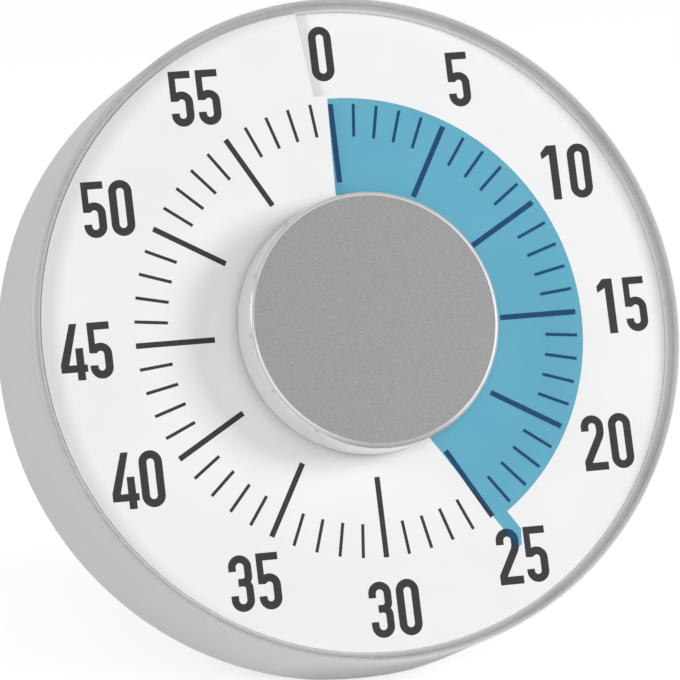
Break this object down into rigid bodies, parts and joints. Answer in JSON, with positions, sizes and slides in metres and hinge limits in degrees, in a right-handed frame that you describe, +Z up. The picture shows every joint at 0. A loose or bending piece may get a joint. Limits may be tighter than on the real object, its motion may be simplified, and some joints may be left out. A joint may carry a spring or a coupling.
{
  "type": "visual countdown timer",
  "caption": "Round wind-up visual timer: white dial with minute scale, blue time disc that shows the time left, large silver knob, fold-out leg.",
  "frame": {"origin": "middle of the heel flat on the lowest edge of the case, on the table that the timer stands on", "axes": "+Z up, the dial faces -Y and leans back towards +Y, +X to the right of someone reading the dial"},
  "size_m": [0.19, 0.1108, 0.1899],
  "materials": {
    "silver_case": "satin silver paint with fine metallic grain",
    "dial_white": "matt white printed dial sheet",
    "time_blue": "translucent sky-blue film",
    "hub_white": "natural moulded plastic",
    "knob_silver": "glossy silver plated plastic",
    "knob_face": "fine-grained satin aluminium",
    "steel": "turned and ground steel",
    "plate_steel": "zinc plated sheet",
    "screw_steel": "zinc plated",
    "brass": "stamped brass",
    "spring_steel": "blued spring steel",
    "bell_steel": "nickel plated",
    "cover_grey": "fine spark-eroded texture",
    "magnet": "nickel plated magnet",
    "rubber": "soft matt rubber"
  },
  "bodies": {
    "case": {"case_shell": "silver_case", "bezel_ring": "silver_case", "dial_plate": "dial_white", "front_plate": "plate_steel", "back_plate": "plate_steel", "movement_pillars": "plate_steel", "plate_screws": "screw_steel", "spring_barrel": "plate_steel", "hairspring_stud": "steel", "hairspring": "spring_steel", "mainspring": "spring_steel", "hammer_pin": "steel", "bell": "bell_steel", "bell_post": "plate_steel", "bell_screw": "screw_steel", "rear_cover": "cover_grey", "cover_screws": "screw_steel", "magnets": "magnet", "leg_pin": "steel"},
    "knob": {"knob_cap": "knob_silver", "knob_inlay": "knob_face", "knob_core": "hub_white", "arbor": "steel", "great_wheel": "brass", "clutch_spring": "spring_steel", "clutch_collar": "brass", "alarm_cam": "brass"},
    "time_disc": {"film_disc": "time_blue", "film_hub": "hub_white"},
    "second_wheel_set": {"second_pinion": "steel", "second_wheel": "brass"},
    "third_wheel_set": {"third_pinion": "steel", "third_wheel": "brass"},
    "escape_wheel_set": {"escape_pinion": "steel", "escape_wheel": "brass"},
    "pallet": {"pallet_lever": "brass", "pallet_arbor": "steel"},
    "balance": {"balance_wheel": "brass", "balance_staff": "steel"},
    "hammer": {"hammer_lever": "plate_steel"},
    "leg": {"stand_leg": "cover_grey", "foot_pad": "rubber"}
  },
  "joints": [
    {"name": "knob_turn", "type": "hinge", "parent": "case", "child": "knob", "pos_m": [0, 0.00071, 0.1013], "axis": [0, 0.9272, -0.3746], "range_deg": [-150, 210], "deforming": ["mainspring"]},
    {"name": "time_disc_lift", "type": "slide", "parent": "knob", "child": "time_disc", "axis": [0, -0.9272, 0.3746], "range_m": [-0.00109, 0.00152]},
    {"name": "second_wheel_spin", "type": "hinge", "parent": "case", "child": "second_wheel_set", "pos_m": [0, 0.02525, 0.11468], "axis": [0, 0.9272, -0.3746], "range_deg": [-1050, 750]},
    {"name": "third_wheel_spin", "type": "hinge", "parent": "case", "child": "third_wheel_set", "pos_m": [0.01409, 0.02717, 0.11944], "axis": [0, 0.9272, -0.3746], "range_deg": [-3750, 5250]},
    {"name": "escape_wheel_spin", "type": "hinge", "parent": "case", "child": "escape_wheel_set", "pos_m": [0.02492, 0.02483, 0.11364], "axis": [0, 0.9272, -0.3746], "range_deg": [-21000, 15000]},
    {"name": "pallet_rock", "type": "hinge", "parent": "case", "child": "pallet", "pos_m": [0.02962, 0.02178, 0.1061], "axis": [0, 0.9272, -0.3746], "range_deg": [-4, 4]},
    {"name": "balance_swing", "type": "hinge", "parent": "case", "child": "balance", "pos_m": [0.02771, 0.01773, 0.09605], "axis": [0, 0.9272, -0.3746], "range_deg": [-120, 120], "stiffness_Nm_per_rad": 0.00002, "deforming": ["hairspring"]},
    {"name": "hammer_strike", "type": "hinge", "parent": "case", "child": "hammer", "pos_m": [-0.026, 0.02241, 0.10764], "axis": [0, -0.9272, 0.3746], "range_deg": [-4, 5]},
    {"name": "leg_fold", "type": "hinge", "parent": "case", "child": "leg", "pos_m": [0, 0.03745, 0.09483], "axis": [-1, 0, 0], "range_deg": [0, 23.5]}
  ],
  "couplings": [
    {"joint": "time_disc_lift", "follows": "knob_turn", "m_per_rad": 0.0004138},
    {"joint": "second_wheel_spin", "follows": "knob_turn", "ratio": -5},
    {"joint": "third_wheel_spin", "follows": "knob_turn", "ratio": 25},
    {"joint": "escape_wheel_spin", "follows": "knob_turn", "ratio": -100}
  ]
}
